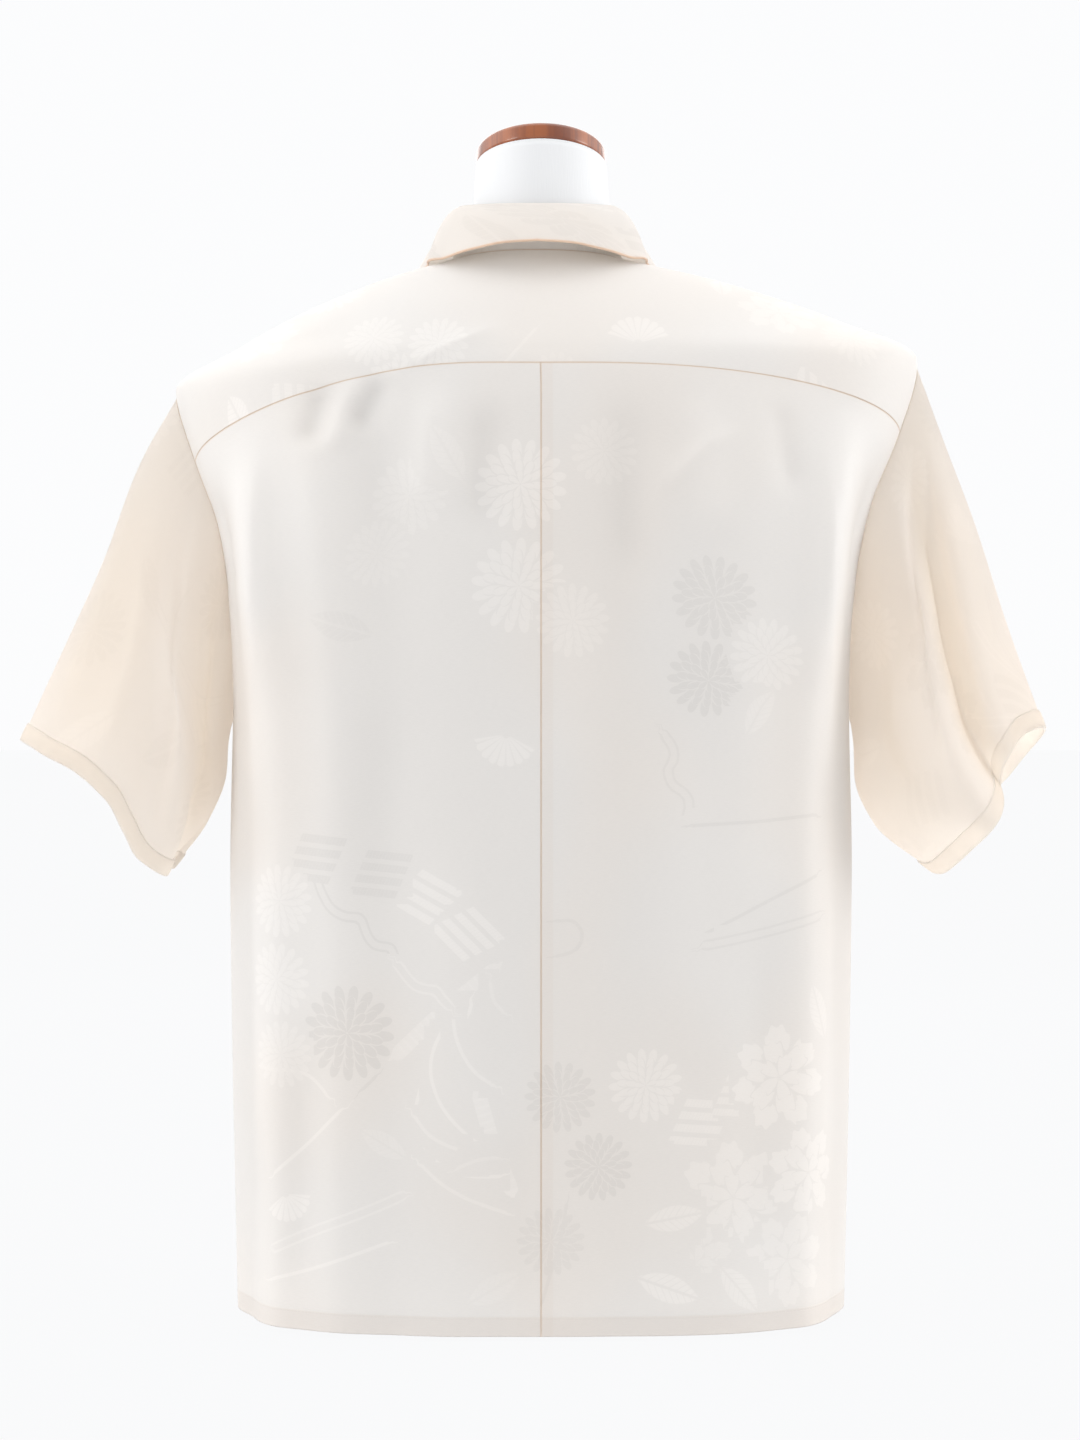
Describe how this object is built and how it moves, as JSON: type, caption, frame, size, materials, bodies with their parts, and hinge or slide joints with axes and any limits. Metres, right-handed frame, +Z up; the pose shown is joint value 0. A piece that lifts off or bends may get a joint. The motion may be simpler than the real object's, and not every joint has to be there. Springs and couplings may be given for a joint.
{
  "type": "hawaiian shirt on a dress form",
  "caption": "Short-sleeved silk jacquard shirt with an open collar and a back yoke, worn buttoned by a limbless dress form with a wooden neck cap.",
  "frame": {"origin": "middle of the dress form's flat foot, on the surface that it stands on", "axes": "+Z up, the wearer's left towards +X, the shirt's front towards -Y"},
  "size_m": [0.6875, 0.2742, 0.7865],
  "materials": {
    "silk": "cream-white silk jacquard with tone-on-tone flower figures",
    "button": "pearly",
    "form_cover": "smooth pale grey cover",
    "varnished_wood": "orange-brown varnish"
  },
  "bodies": {
    "root": {"back_yoke": "silk", "back_left": "silk", "back_right": "silk", "front_left": "silk", "front_right": "silk", "lapel_left": "silk", "lapel_right": "silk", "collar": "silk", "sleeve_left": "silk", "sleeve_right": "silk", "button_1": "button", "button_2": "button", "button_3": "button", "button_4": "button", "button_5": "button", "form_torso": "form_cover", "form_neck_cap": "varnished_wood"}
  },
  "joints": []
}
